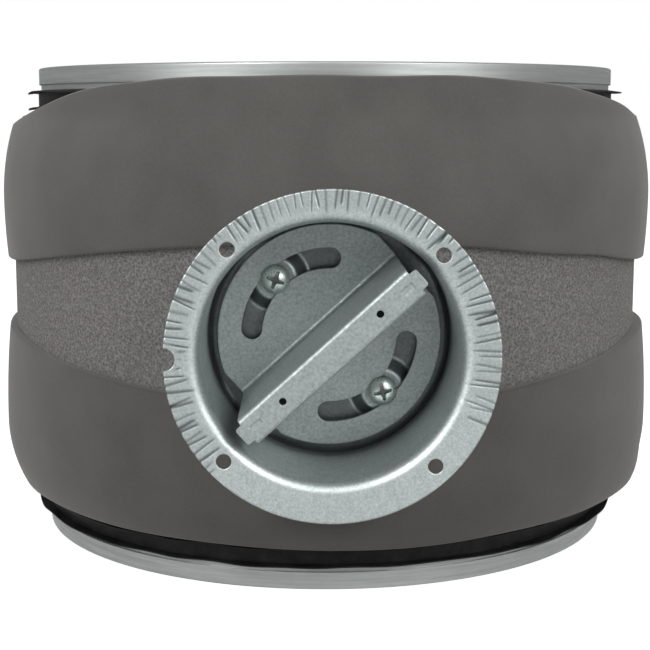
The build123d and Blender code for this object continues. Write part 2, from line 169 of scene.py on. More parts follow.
@dataclass(frozen=True)
class Finish:
    """A surface whose fine noise, mixed with a coarse pattern, drives colour, gloss and relief.

    Pattern sizes are real ones in millimetres. The roughness runs from the low to the high end of
    the pattern's span; a finish without that has its roughness among its constants.
    """

    name: str
    tones: Tones
    fine_mm: float
    fine_noise: Pair = (3.0, 0.5)  # detail and roughness of the noise
    fine_run: Place = (1.0, 1.0, 1.0)  # draws the noise out along an axis where it is small
    fine_share: float = 1.0
    coarse: Coarse | None = None
    coarse_mm: float = 1.0
    span: Pair = (0.0, 1.0)
    roughness: Pair | None = None
    bump_strength: float = 0.0
    bump_mm: float = 0.0
    mixed_relief: bool = False  # relief by the mixed pattern, or else by the fine noise
    # colour of painted shade, blended in where the mesh attribute of painted shade is set
    stain: str | None = None
    edge_mm: float = 0.0
    edge_samples: int = 4
    constants: Constants = ()

    def material(self) -> bpy.types.Material:
        """Build the material: the pattern sets the tone and the roughness, and lifts the surface.

        The mesh attribute of painted shade, where there is one, blends in painted shade in folds,
        recesses and under parts. Edges are rounded off in the shading by edge_mm.

        Returns:
            The finished material.
        """
        material, shader, coords = new_material(self.name, self.constants)
        tree = material.node_tree
        run = add_node(tree, "VectorMath", {"operation": "MULTIPLY", 1: self.fine_run}, {0: coords})
        detail, harshness = self.fine_noise
        fine = blend = add_node(
            tree, "TexNoise",
            {"Scale": per_metre(self.fine_mm), "Detail": detail, "Roughness": harshness},
            {"Vector": run.outputs[0]},
        ).outputs["Fac"]
        if self.coarse:
            kind, settings, output = self.coarse.value
            cells = add_node(
                tree, kind, {"Scale": per_metre(self.coarse_mm), **settings}, {"Vector": coords}
            )
            shade = add_node(tree, "SeparateColor", links={0: cells.outputs[output]})
            blend = add_node(
                tree, "Mix", {"data_type": "FLOAT", 0: self.fine_share},
                {2: shade.outputs["Red"], 3: fine},
            ).outputs[0]
        colour = add_node(tree, "ValToRGB", {"ramp": self.tones}, {"Fac": blend}).outputs["Color"]
        # painted shade: the dark colour blended in by the mesh attribute
        if self.stain:
            share = add_node(tree, "Attribute", {"attribute_name": "stain"}).outputs["Fac"]
            colour = add_node(
                tree, "Mix", {"data_type": "RGBA", 7: linear(self.stain)}, {0: share, 6: colour}
            ).outputs[2]
        tree.links.new(colour, shader.inputs["Base Color"])
        if self.roughness:
            ends = zip(("From Min", "From Max", "To Min", "To Max"), self.span + self.roughness)
            gloss = add_node(tree, "MapRange", dict(ends), {"Value": blend})
            tree.links.new(gloss.outputs["Result"], shader.inputs["Roughness"])
        if self.bump_mm:
            bump = add_node(
                tree, "Bump", {"Strength": self.bump_strength, "Distance": self.bump_mm * MM},
                {"Height": blend if self.mixed_relief else fine},
            )
            tree.links.new(bump.outputs["Normal"], shader.inputs["Normal"])
            if self.edge_mm:
                edge = add_node(
                    tree, "Bevel", {"samples": self.edge_samples, "Radius": self.edge_mm * MM}
                )
                tree.links.new(edge.outputs["Normal"], bump.inputs["Normal"])
        return material


@dataclass(frozen=True)
class GalvanisedSheet(Finish):
    """Hot-dip galvanised steel sheet: grey zinc, satin, with fine cloudy grain and faint spangle.

    The eye gets soft grey reflections with a cool cast, part mirrored and part matt from the oxide,
    a fine mottle of lighter and darker zinc, faint cells a few millimetres wide, edges lit by
    rounding in the shading or by painted highlight rings, and painted shade in the crimps' creases.
    """

    name: str = "galvanised_steel_sheet"
    tones: Tones = ((0.3, "#a0a8a7"), (0.7, "#c6cecd"))
    fine_mm: float = 0.7
    fine_noise: Pair = (4.0, 0.6)
    fine_share: float = 0.92
    coarse: Coarse | None = Coarse.SPANGLE
    coarse_mm: float = 3.0
    span: Pair = (0.3, 0.7)
    roughness: Pair | None = (0.47, 0.34)
    bump_strength: float = 0.5
    bump_mm: float = 0.012
    # colour of the painted shade in creases, recesses and on the cup's floor under the blade
    stain: str | None = "#3a3f3f"
    constants: Constants = (("Metallic", 0.7),)


@dataclass(frozen=True)
class ClosedCellFoam(Finish):
    """Closed-cell rubber foam tape with a moulded skin: dark grey, matt, faintly cloudy.

    The eye gets a soft even grey with slow lighter clouds a couple of centimetres wide, a very fine
    grain and no highlight. The fine grain is drawn coarser than it is, so that it shows.
    """

    name: str = "foam_tape_moulded_skin"
    tones: Tones = ((0.3, "#504e4b"), (0.7, "#5f5d5a"))
    fine_mm: float = 0.8
    fine_noise: Pair = (3.0, 0.7)
    fine_share: float = 0.4
    coarse: Coarse | None = Coarse.CLOUDS
    coarse_mm: float = 22.0
    bump_strength: float = 0.4
    bump_mm: float = 0.05
    constants: Constants = (
        ("Roughness", 0.82), ("Specular IOR Level", 0.25),
        ("Sheen Weight", 0.25), ("Sheen Roughness", 0.5),
    )


@dataclass(frozen=True)
class CutFoam(Finish):
    """Foam sheet cut through its cells: mid grey, dull, pitted with cells under a millimetre wide.

    The eye gets a salt-and-pepper speckle, light cell walls beside pits darkened by painted shade,
    and no gloss.
    """

    name: str = "foam_sheet_cut_cells"
    # the dark end, where the relief also sinks, is painted shade in the cells' pits
    tones: Tones = ((0.3, "#545351"), (0.5, "#767472"), (0.68, "#8b8986"))
    fine_mm: float = 0.75
    fine_noise: Pair = (4.0, 0.75)
    fine_share: float = 0.6
    coarse: Coarse | None = Coarse.CELLS
    coarse_mm: float = 0.75
    bump_strength: float = 0.6
    bump_mm: float = 0.12
    mixed_relief: bool = True
    constants: Constants = (("Roughness", 0.95), ("Specular IOR Level", 0.15))


@dataclass(frozen=True)
class ExtrudedRubber(Finish):
    """Extruded EPDM rubber: black with a slight waxy sheen and a little dust.

    The eye gets near black, with soft low highlights along the lips.
    """

    name: str = "epdm_rubber_extruded"
    tones: Tones = ((0.42, "#0d0c0c"), (0.72, "#2c2a2b"))
    fine_mm: float = 6.0
    fine_noise: Pair = (6.0, 0.65)
    roughness: Pair | None = (0.35, 0.7)
    bump_strength: float = 0.3
    bump_mm: float = 0.05
    constants: Constants = (("Specular IOR Level", 0.2),)


@dataclass(frozen=True)
class MouldedNylon(Finish):
    """Injection-moulded natural nylon: to the eye a milky off-white, satin and slightly uneven."""

    name: str = "nylon_moulded_natural"
    tones: Tones = ((0.35, "#cfccc3"), (0.65, "#dddad2"))
    fine_mm: float = 5.0
    constants: Constants = (("Roughness", 0.42), ("IOR", 1.53))


@dataclass
class Patches:
    """Grids of points that make one mesh, joined where their edges coincide.

    A grid's rows and columns run so that row direction x column direction is the outward normal.
    """

    grids: list[np.ndarray] = field(default_factory=list)

    def add(self, *points: np.ndarray) -> None:
        """Add grids of points in millimetres, each of shape (rows, columns, 3)."""
        self.grids.extend(points)

    def add_layer(self, outer: np.ndarray, inner: np.ndarray) -> None:
        """Add a closed slab: two like grids and the four strips that join their borders.

        Args:
            outer: Grid of the outward face.
            inner: Grid of the inward face, of the same shape.
        """
        self.add(outer, inner[::-1])
        for border in (np.s_[0], np.s_[-1], np.s_[:, 0], np.s_[:, -1]):
            self.add(np.stack([outer[border], inner[border]]))

    def to_object(self, name: str, closed: bool, sharp_deg: float) -> bpy.types.Object:
        """Write the grids into one mesh object at the origin.

        Quad (i, j) of a grid takes its corners (i, j), (i + 1, j), (i + 1, j + 1), (i, j + 1).

        Args:
            name: Name of the object.
            closed: True for a closed shell, whose normals are turned outwards.
            sharp_deg: Edges that turn by more than this stay sharp.

        Returns:
            The object, linked to the scene.
        """
        points, quads, start = [], [], 0
        for grid in self.grids:
            rows, columns = grid.shape[:2]
            index = np.arange(rows * columns).reshape(rows, columns) + start
            corners = (index[:-1, :-1], index[1:, :-1], index[1:, 1:], index[:-1, 1:])
            quads.append(np.stack(corners, axis=-1).reshape(-1, 4))
            points.append(grid.reshape(-1, 3))
            start += rows * columns
        flat_points, flat_quads = np.concatenate(points) * MM, np.concatenate(quads)
        mesh = bpy.data.meshes.new(name)
        mesh.vertices.add(len(flat_points))
        mesh.vertices.foreach_set("co", flat_points.astype(np.float32).ravel())
        mesh.loops.add(flat_quads.size)
        mesh.loops.foreach_set("vertex_index", flat_quads.astype(np.int32).ravel())
        mesh.polygons.add(len(flat_quads))
        mesh.polygons.foreach_set("loop_start", np.arange(0, flat_quads.size, 4, dtype=np.int32))
        mesh.update(calc_edges=True)
        work = bmesh.new()
        work.from_mesh(mesh)
        bmesh.ops.remove_doubles(work, verts=work.verts, dist=MERGE_MM * MM)
        bmesh.ops.dissolve_degenerate(work, edges=work.edges, dist=SLIVER_MM * MM)
        if closed:
            bmesh.ops.recalc_face_normals(work, faces=work.faces)
        work.to_mesh(mesh)
        work.free()
        mesh.polygons.foreach_set("use_smooth", np.ones(len(mesh.polygons), dtype=bool))
        mesh.set_sharp_from_angle(angle=math.radians(sharp_deg))
        piece = bpy.data.objects.new(name, mesh)
        bpy.context.scene.collection.objects.link(piece)
        return piece


def dress(
    piece: bpy.types.Object, material: bpy.types.Material, body: Body, node: str
) -> None:
    """Give a new piece its material and body, and put it in its solid's place.

    Args:
        piece: Finished object.
        material: Material for the whole piece.
        body: Body that carries the piece.
        node: Solid that the piece replaces.
    """
    piece.data.materials.append(material)
    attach(piece, body.value)
    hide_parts(node)
    log.info("%s: %d faces", piece.name, len(piece.data.polygons))


def stain(piece: bpy.types.Object, share_of: Callable[[np.ndarray], np.ndarray]) -> None:
    """Write the mesh attribute of painted shade, the share of dark that a metal finish blends in.

    Args:
        piece: New piece.
        share_of: Function from the vertices in millimetres, of shape (n, 3), to their shares.
    """
    points = np.empty(3 * len(piece.data.vertices), dtype=np.float32)
    piece.data.vertices.foreach_get("co", points)
    layer = piece.data.attributes.new("stain", "FLOAT", "POINT")
    shares = np.clip(share_of(points.reshape(-1, 3) / MM), 0, 1)
    layer.data.foreach_set("value", shares.astype(np.float32))


def smooth_step(low: float, high: float, value: np.ndarray) -> np.ndarray:
    """Return 0 below low, 1 above high and 3 t^2 - 2 t^3 between them."""
    share = np.clip((value - low) / (high - low), 0, 1)
    return share * share * (3 - 2 * share)


def ripple(turn: np.ndarray, height: np.ndarray, size: float, waves: int, seed: int) -> np.ndarray:
    """Slow unevenness round a ring: a sum of sines of whole turns, with random phase and slant.

    Each wave k adds sin(n_k turn + s_k height + p_k) / waves^0.5, n_k being a whole number.

    Args:
        turn: Angles round the ring in radians.
        height: Heights in millimetres, of a shape that broadcasts with turn.
        size: Size of the unevenness in millimetres.
        waves: Number of sines.
        seed: Seed of the phases.

    Returns:
        The unevenness in millimetres, of the broadcast shape.
    """
    draw = np.random.default_rng(seed)
    counts = draw.integers(2, 4 + 2 * waves, waves)
    slants = draw.uniform(-RIPPLE_SLANT, RIPPLE_SLANT, waves)
    phases = draw.uniform(0, 2 * math.pi, waves)
    angle = turn[..., None] * counts + height[..., None] * slants + phases
    return size * np.sin(angle).sum(axis=-1) / math.sqrt(waves)


def wrap(radius: np.ndarray, turn: np.ndarray, height: np.ndarray) -> np.ndarray:
    """Points round the duct: x = r sin(turn), y = -r cos(turn), z = height; turn 0 is in front."""
    radius, turn, height = np.broadcast_arrays(radius, turn, height)
    return np.stack([radius * np.sin(turn), -radius * np.cos(turn), height], axis=-1)


@dataclass
class FoamJacket:
    """Foam insulation: a base sleeve and two bands wrapped over it, parting round the cup.

    A bulge is the radius and height of a crest, a band the heights of its edges at the back. A
    field in degrees is the middle and the width of a stray, a ripple its size and count of waves.
    """

    inner_r: float = 98.9
    middle_r: float = 109.2
    end_r: float = 105.4
    bottom: float = 15.9
    top: float = 141.1
    bevel: float = 2.0
    upper_bulge: Pair = (110.2, 113.5)
    lower_bulge: Pair = (111.1, 37.0)
    band_thickness: float = 3.0
    glue_gap: float = 0.1
    upper_band: Pair = (92.4, 139.1)
    lower_band: Pair = (14.6, 71.2)
    band_lift: float = 13.8
    band_drop: float = 13.1
    flap_lean: float = 1.6
    opening_r: float = 36.6
    corner_lift: float = 2.6
    corner_deg: Pair = (74.0, 34.0)
    lift_from: float = 0.2  # cosine of the turn at which the top edge starts to rise
    hem_rise: float = 2.8
    hem_softness: float = 0.02
    squash: float = 0.8
    squash_deg: Pair = (-90.0, 42.0)
    flare: float = 2.4
    flare_deg: Pair = (88.0, 32.0)
    flare_reach: float = 13.0
    base_seam_deg: float = -140.0
    band_seam_deg: float = -180.0
    seam_gap: float = 0.6
    edge_round: float = 0.7
    edge_ripple: tuple[float, int] = (0.22, 7)
    face_ripple: tuple[float, int] = (0.16, 9)
    base_ripple: tuple[float, int] = (0.1, 9)
    base_seed: int = 41
    fill: float = 0.9
    column_step: float = 0.02  # radians
    arch_columns: int = 81
    edge_rows: int = 6
    face_rows: int = 25
    base_rows: int = 31

    def swell(self, height: np.ndarray, crest: Pair, end: Pair) -> np.ndarray:
        """Radius of a circular arc from its crest to its end, no less than the sleeve's end radius.

        With the crest (R, h) and the end (r, e) the arc's own radius is q = (d^2 + l^2) / 2 d, d
        being R - r and l being e - h, and the arc is R - q + (q^2 - (z - h)^2)^0.5.

        Args:
            height: Heights in millimetres.
            crest: Radius and height of the crest.
            end: Radius and height of the end.

        Returns:
            Radii in millimetres.
        """
        drop, run = crest[0] - end[0], end[1] - crest[1]
        bend = (drop**2 + run**2) / (2 * drop)
        inside = np.clip(bend**2 - (height - crest[1]) ** 2, 0, None)
        return np.maximum(crest[0] - bend + np.sqrt(inside), self.end_r)

    def base_radius(self, height: np.ndarray) -> np.ndarray:
        """Outer radius of the base sleeve: arcs swell from the plain middle and from the ends.

        Above the sleeve the line leans in to the flap's top.

        Args:
            height: Heights in millimetres.

        Returns:
            Radii in millimetres.
        """
        low, high = self.lower_band[1], self.upper_band[0]
        steps = [
            (self.lower_bulge[1], self.swell(height, self.lower_bulge, (self.end_r, self.bottom))),
            (low, self.swell(height, self.lower_bulge, (self.middle_r, low))),
            (high, np.full_like(height, self.middle_r)),
            (self.upper_bulge[1], self.swell(height, self.upper_bulge, (self.middle_r, high))),
            (self.top, self.swell(height, self.upper_bulge, (self.end_r, self.top))),
        ]
        flap_height = self.upper_band[1] + self.band_lift - self.top
        lean = self.end_r - self.flap_lean * (height - self.top) / flap_height
        tests = [height < limit for limit, _ in steps]
        return np.select(tests, [radius for _, radius in steps], default=lean)

    def front_share(self, turn: np.ndarray, band_r: float) -> np.ndarray:
        """Share of an edge's rise: the square of the reach forwards in front, 0 behind."""
        return np.clip(self.middle_r / band_r * np.cos(turn), 0, None) ** 2

    def opening_arch(self, turn: np.ndarray) -> np.ndarray:
        """Half height of the round opening at a turn: (R^2 - x^2)^0.5 in front, 0 beyond it."""
        across = np.where(np.cos(turn) > 0, self.middle_r * np.sin(turn), self.opening_r)
        return np.sqrt(np.clip(self.opening_r**2 - across**2, 0, None))

    def top_share(self, turn: np.ndarray) -> np.ndarray:
        """Share of the top edge's rise: a smooth step of cos(turn), up to 1 in front."""
        return smooth_step(self.lift_from, 1.0, np.cos(turn))

    def hem_share(self, turn: np.ndarray) -> np.ndarray:
        """Share of the bottom edge's rise: (sin(turn)^2 + c)^0.5 - c^0.5 in front, level behind."""
        across = np.where(np.cos(turn) > 0, np.sin(turn) ** 2, 1.0)
        return np.sqrt(across + self.hem_softness) - math.sqrt(self.hem_softness)

    def bell(self, turn: np.ndarray, place_deg: float, width_deg: float) -> np.ndarray:
        """Share of a hand-wrapped stray at one side: exp(-((turn - place) / width)^2)."""
        return np.exp(-(((np.degrees(turn) - place_deg) / width_deg) ** 2))

    def columns(self, seam_deg: float) -> np.ndarray:
        """Turns of the columns from one side of a seam round to the other.

        Columns over the opening follow its arch: sin(turn) = R / r sin(u) for even steps of u.

        Args:
            seam_deg: Turn of the seam.

        Returns:
            Turns in radians, rising.
        """
        gap = self.seam_gap / 2 / self.middle_r
        first = math.radians(seam_deg) + gap
        last = first + 2 * math.pi - 2 * gap
        edge = math.asin(self.opening_r / self.middle_r)
        even = np.linspace(-math.pi / 2, math.pi / 2, self.arch_columns)
        arch = np.arcsin(np.sin(even) * math.sin(edge))
        left = np.linspace(first, -edge, 2 + int(-(first + edge) / self.column_step))
        right = np.linspace(edge, last, 2 + int((last - edge) / self.column_step))
        return np.unique(np.round(np.concatenate([left, arch, right]), 9))

    def band(
        self, name: str, low: np.ndarray, high: np.ndarray, turns: np.ndarray, flare: float,
        seed: int,
    ) -> bpy.types.Object:
        """Wrap one band: base radius + gap + thickness x edge profile, between two edge lines.

        The edge profile falls from 1 to 0.5 as a quarter round within edge_round of either edge. A
        slow ripple makes the face and the edges uneven, the left side is squashed a little, and on
        the right the lower edge stands off by the flare, which dies away upwards.

        Args:
            name: Name of the piece.
            low: Heights of the lower edge at the columns.
            high: Heights of the upper edge at the columns.
            turns: Turns of the columns.
            flare: Reach of the flare at the lower edge.
            seed: Seed of the ripple.

        Returns:
            The band's object.
        """
        level = np.zeros_like(turns)
        low = low + ripple(turns, level, *self.edge_ripple, seed)
        high = high + ripple(turns, level, *self.edge_ripple, seed + 1)
        quarter = np.linspace(0, math.pi / 2, self.edge_rows)[:, None]
        inset = self.edge_round * (1 - np.cos(quarter))
        share = np.linspace(0, 1, self.face_rows)[1:-1, None]
        inner_low, inner_high = low + self.edge_round, high - self.edge_round
        face = inner_low + share * (inner_high - inner_low)
        height = np.concatenate([low + inset, face, high - inset[::-1]])
        near = np.minimum(height - low, high - height)
        fall = np.clip(1 - near / self.edge_round, 0, 1)
        profile = 0.5 + 0.5 * np.sqrt(np.clip(1 - fall**2, 0, 1))
        loose = flare * self.bell(turns, *self.flare_deg)
        loose = loose * (1 - smooth_step(0.0, self.flare_reach, height - low))
        seat = self.base_radius(height) + self.glue_gap + loose
        uneven = ripple(turns[None, :], height, *self.face_ripple, seed + 2)
        uneven = uneven - self.squash * self.bell(turns, *self.squash_deg)
        outer = seat + (self.band_thickness + uneven) * profile
        patches = Patches()
        patches.add_layer(wrap(outer, turns, height), wrap(seat, turns, height))
        return patches.to_object(name, closed=True, sharp_deg=60)

    def base(self, name: str) -> bpy.types.Object:
        """Build the base sleeve in two halves, above and below the axis, round the opening.

        Each half is a slab from its end to the axis height, or to the opening's arch in front. The
        outward face has the swelling radius and a fine ripple, the inward face the tube's radius.

        Args:
            name: Name of the piece.

        Returns:
            The sleeve's object.
        """
        turns = self.columns(self.base_seam_deg)
        arch = self.opening_arch(turns)
        over = np.flatnonzero(arch > 0)
        wall = np.s_[-1, over[0] - 1 : over[-1] + 2]
        share = np.linspace(0, 1, self.base_rows)[:, None]
        patches = Patches()
        for end, side in ((self.bottom, -1), (self.top, 1)):
            limit = AXIS_HEIGHT + side * arch
            inner_end = end + side * self.bevel
            height = end + share * (limit - end)
            radius = self.base_radius(np.clip(height, self.bottom, self.top - 1e-6))
            radius = radius + ripple(turns[None, :], height, *self.base_ripple, self.base_seed)
            outer = wrap(radius, turns, height)
            inner_height = inner_end + share * (limit - inner_end)
            inner = wrap(np.full_like(radius, self.inner_r), turns, inner_height)
            patches.add(outer, inner)
            for border in (np.s_[0], np.s_[:, 0], np.s_[:, -1], wall):
                patches.add(np.stack([outer[border], inner[border]]))
        return patches.to_object(name, closed=True, sharp_deg=50)

    def build(self, band_finish: Finish, base_finish: Finish) -> None:
        """Make the base sleeve and the bands, whose edges part round the opening.

        Args:
            band_finish: Finish of the bands.
            base_finish: Finish of the base sleeve.
        """
        base = self.base("foam_jacket_base")
        dress(base, base_finish.material(), Body.CASING, "foam_sleeve")
        band_material = band_finish.material()
        turns = self.columns(self.band_seam_deg)
        arch = self.opening_arch(turns)
        over = arch > 0
        low = self.upper_band[0] + self.band_lift * self.front_share(turns, self.upper_bulge[0])
        low = np.where(over, np.maximum(low, AXIS_HEIGHT + arch), low)
        stray = self.corner_lift * self.bell(turns, *self.corner_deg)
        top = self.upper_band[1] + self.band_lift * self.top_share(turns) + stray
        high = self.lower_band[1] - self.band_drop * self.front_share(turns, self.lower_bulge[0])
        high = np.where(over, np.minimum(high, AXIS_HEIGHT - arch), high)
        hem = self.lower_band[0] + self.hem_rise * self.hem_share(turns)
        upper = self.band("foam_jacket_upper_band", low, top, turns, 0.0, seed=11)
        lower = self.band("foam_jacket_lower_band", hem, high, turns, self.flare, seed=23)
        for piece, node in ((upper, "upper_foam_band"), (lower, "lower_foam_band")):
            dress(piece, band_material, Body.CASING, node)


@dataclass
class LipGasket:
    """Double-lip rubber gasket round a spigot, its lips leaning away from the spigot's end.

    The upper gasket is drawn, and the lower one is its mirror image.
    """

    name: str
    node: str
    upper: bool
    seed: int
    tube_r: float = 98.9
    strap_thickness: float = 0.9
    lip_r: float = 103.2
    first_lip: float = 149.7
    strap_width: float = 6.2
    lip_root: float = 0.9
    lip_tip: float = 0.4
    lip_lean: float = 0.6
    duct_height: float = 157.0
    axial_ripple: tuple[float, int] = (0.3, 14)
    radial_ripple: tuple[float, int] = (0.15, 9)
    lip_rows: int = 6
    columns: int = 541

    def build(self, material: bpy.types.Material) -> None:
        """Carry the gasket's section round the tube, with lips that wander up and down.

        The section is a strap with two tapered lips. A point at share w of a lip's reach moves by
        w times the ripples along the axis and along the radius.

        Args:
            material: Rubber material.
        """
        strap_r, foot = self.tube_r + self.strap_thickness, self.first_lip - self.strap_width
        reach = np.linspace(0, 1, self.lip_rows)
        out = strap_r + reach * (self.lip_r - strap_r)
        rows = [np.array([[self.tube_r, self.first_lip, 0.0]])]
        for root in (self.first_lip, foot + self.lip_root):
            over = root - self.lip_lean * reach
            under = over - (self.lip_root + (self.lip_tip - self.lip_root) * reach)
            rows.append(np.stack([out, over, reach], axis=1))
            rows.append(np.stack([out, under, reach], axis=1)[::-1])
        rows.append(np.array([[self.tube_r, foot, 0.0], [self.tube_r, self.first_lip, 0.0]]))
        section_r, section_z, weight = np.concatenate(rows).T[..., None]
        if not self.upper:
            section_z = self.duct_height - section_z
        turns = np.linspace(-math.pi, math.pi, self.columns)[None, :]
        level = np.zeros_like(turns)
        height = section_z + weight * ripple(turns, level, *self.axial_ripple, self.seed)
        radius = section_r + weight * ripple(turns, level, *self.radial_ripple, self.seed + 1)
        skin = wrap(radius, turns, height)
        piece = Patches([skin]).to_object(self.name, closed=True, sharp_deg=40)
        dress(piece, material, Body.CASING, self.node)


@dataclass
class DrawnCup:
    """Drawn sheet cup with two bosses in its floor, a round lip and a crimped, off-centre flange.

    Places on the face are complex numbers, x + i z from the mechanism's axis.
    """

    sheet: float = 0.8
    floor_depth: float = 99.8
    flange_depth: float = 138.0
    bush_hole_r: float = 8.05
    wall_r: float = 35.3
    flange_r: float = 45.4
    flange_at: complex = 0.4 - 1.1j
    floor_bend: float = 2.0
    lip_bend: float = 3.6
    lip_split: float = 1.2  # distance from the wall at which the flat rows take over
    wall_split: float = 102.6  # depth at which bowl and flange meet
    overlap: float = 0.01
    boss_rise: float = 2.7
    boss_top_r: float = 5.8
    boss_base_r: float = 9.8
    boss_round: float = 0.9
    hole_r: float = 2.1
    hole_circle_r: float = 40.5
    hole_half_deg: float = 7.0
    notch_r: float = 3.2
    notch_deg: float = 180.0
    crimp_pitch_deg: float = 2.9
    crimp_jitter: float = 0.3  # as a share of the pitch
    crimp_arc_deg: Pair = (-24.0, 226.0)
    crimp_depth: Pair = (0.13, 0.25)
    crimp_half_deg: Pair = (0.4, 0.8)
    crimp_start: Pair = (1.8, 4.6)  # from the wall
    crimp_fade: float = 1.5
    crimp_slant: float = 0.2  # degrees per millimetre
    crimp_quiet: float = 0.1  # share of the depth outside the main arc
    plain_ring: Pair = (0.2, 2.0)  # fades the crimps round the holes and the notch
    # painted shade in the crimps' creases, by their depth
    crimp_painted_shade: float = 0.8
    # painted shade over the whole crimped arc
    crimp_arc_shade: float = 0.13
    arc_shade_fade_deg: float = 12.0
    arc_shade_start: Pair = (2.5, 5.0)  # from the wall
    # painted shade on the cup's floor under the blade
    floor_painted_shade: float = 0.78
    painted_shade_edge: float = 0.7  # half the depth over which the floor's painted shade ends on the wall
    # width of the painted highlight rings on the bosses' rounded edges, left out of the painted
    # shade
    highlight_ring_width: float = 0.4
    seed: int = 7
    columns: int = 601
    floor_rows: int = 41
    bend_rows: int = 9
    foot_rows: int = 5
    wall_rows: int = 7
    lip_rows: int = 8
    face_rows: int = 19
    hole_rows: int = 13
    flange_step_deg: float = 0.3

    def place(self, radius: np.ndarray, turn: np.ndarray, depth: np.ndarray) -> np.ndarray:
        """Points about the mechanism: x = r cos(turn), z = axis + r sin(turn), y = -depth."""
        radius, turn, depth = np.broadcast_arrays(radius, turn, depth)
        return np.stack(
            [radius * np.cos(turn), -depth, AXIS_HEIGHT + radius * np.sin(turn)], axis=-1
        )

    def spread(self, low: float, high: float, number: int) -> np.ndarray:
        """Return an even random draw from low to high, the same for the same seed and range."""
        draw = np.random.default_rng([self.seed, int(1000 * abs(low + 2 * high))])
        return draw.uniform(low, high, number)

    def crimps(self, radius: np.ndarray, turn: np.ndarray) -> np.ndarray:
        """Depth of the flange's crimps, narrow radial creases that fade towards the lip.

        Each crimp i adds a_i exp(-(angle off the crimp / s_i)^2), its line slanting a little, and
        fades in from its own start radius. Outside the main arc crimps are shallow, and round the
        holes and the notch the face stays plain.

        Args:
            radius: Distances from the mechanism's axis in millimetres.
            turn: Angles in radians, of the same shape.

        Returns:
            Depths in millimetres.
        """
        number = int(360 / self.crimp_pitch_deg)
        first, last = self.crimp_arc_deg
        steps = np.arange(number) + self.spread(-self.crimp_jitter, self.crimp_jitter, number)
        middle = first + self.crimp_pitch_deg * steps
        deep = self.spread(*self.crimp_depth, number)
        deep = deep * np.where(middle < last, 1.0, self.crimp_quiet)
        wide = self.spread(*self.crimp_half_deg, number)
        start = self.wall_r + self.spread(*self.crimp_start, number)
        slant = self.spread(-self.crimp_slant, self.crimp_slant, number)
        total = np.zeros_like(radius)
        for line in range(number):
            off = np.degrees(turn) - middle[line] - slant[line] * (radius - self.hole_circle_r)
            off = (off + 180) % 360 - 180
            fade = smooth_step(0.0, self.crimp_fade, radius - start[line])
            total += deep[line] * fade * np.exp(-((off / wide[line]) ** 2))
        spot = radius * np.exp(1j * turn)
        cuts = [(hole, self.hole_r) for hole in self.hole_centres()]
        near, far = self.plain_ring
        for centre, edge in [*cuts, (self.notch_centre(), self.notch_r)]:
            total *= smooth_step(edge + near, edge + far, np.abs(spot - centre))
        return total

    def flange_face(self, radius: np.ndarray, turn: np.ndarray) -> np.ndarray:
        """Depth of the face: the lip's round d - b + (b^2 - (e - r)^2)^0.5, less the crimps.

        Args:
            radius: Distances from the mechanism's axis in millimetres.
            turn: Angles in radians, of the same shape.

        Returns:
            Depths in millimetres.
        """
        short = np.clip(self.wall_r + self.lip_bend - radius, 0, None)
        lip = self.lip_bend - np.sqrt(self.lip_bend**2 - short**2)
        return self.flange_depth - lip - self.crimps(radius, turn)

    def boss_centres(self) -> list[complex]:
        """Places of the two bosses, across the cup's own direction."""
        ahead = SCREW_CIRCLE_R * np.exp(1j * math.radians(CUP_DEG))
        return [1j * ahead, -1j * ahead]

    def floor_relief(self, radius: np.ndarray, turn: np.ndarray) -> np.ndarray:
        """Height of the floor: two bosses, cones whose top and foot are rounded off.

        The cone's height h runs from 0 at the foot to the rise at the top. Its soft limits are
        q ln(1 + exp(h / q)) at the foot and the same from the rise down at the top.

        Args:
            radius: Distances from the mechanism's axis in millimetres.
            turn: Angles in radians, of the same shape.

        Returns:
            Heights in millimetres.
        """
        relief = np.zeros_like(radius)
        soft = self.boss_round / 4
        for centre in self.boss_centres():
            away = np.abs(radius * np.exp(1j * turn) - centre)
            cone = (self.boss_base_r - away) / (self.boss_base_r - self.boss_top_r)
            foot = soft * np.logaddexp(0, self.boss_rise * cone / soft)
            relief += self.boss_rise - soft * np.logaddexp(0, (self.boss_rise - foot) / soft)
        return relief

    def hole_centres(self) -> list[complex]:
        """Places of the flange's four holes, on a circle about the flange's own middle."""
        turns = math.radians(CUP_DEG) + np.arange(4) * math.pi / 2
        return list(self.flange_at + self.hole_circle_r * np.exp(1j * turns))

    def notch_centre(self) -> complex:
        """Place of the notch's middle, on the flange's rim."""
        return self.flange_at + self.flange_r * np.exp(1j * math.radians(self.notch_deg))

    def flange_columns(self) -> tuple[np.ndarray, list[tuple[int, int]]]:
        """Angles of the flange's columns, and the first and last column of each hole's sector.

        The columns are even within the sectors between the breaks, which are the sides of the
        holes' sectors and of the notch. Within the notch they go by the sine, even along its round.

        Returns:
            Rising angles in radians over one full turn, and the holes' column ranges.
        """
        notch = self.notch_centre()
        notch_deg = np.angle(notch, deg=True) % 360
        half = math.degrees(math.asin(self.notch_r / abs(notch)))
        sides = [
            (np.angle(hole, deg=True) % 360, self.hole_half_deg) for hole in self.hole_centres()
        ]
        breaks = sorted(
            place + sign * width for place, width in [*sides, (notch_deg, half)] for sign in (-1, 1)
        )
        breaks.append(breaks[0] + 360)
        parts = []
        for low, high in zip(breaks, breaks[1:]):
            along = np.linspace(-1, 1, 2 + int((high - low) / self.flange_step_deg))
            if abs((low + high) / 2 - notch_deg) < self.flange_step_deg:
                along = np.sin(along * math.pi / 2)
            parts.append(((low + high) / 2 + along * (high - low) / 2)[:-1])
        degrees = np.append(np.concatenate(parts), breaks[-1])
        ranges = [
            tuple(int(np.argmin(abs(degrees - (place + sign * width)))) for sign in (-1, 1))
            for place, width in sides
        ]
        return np.radians(degrees), ranges

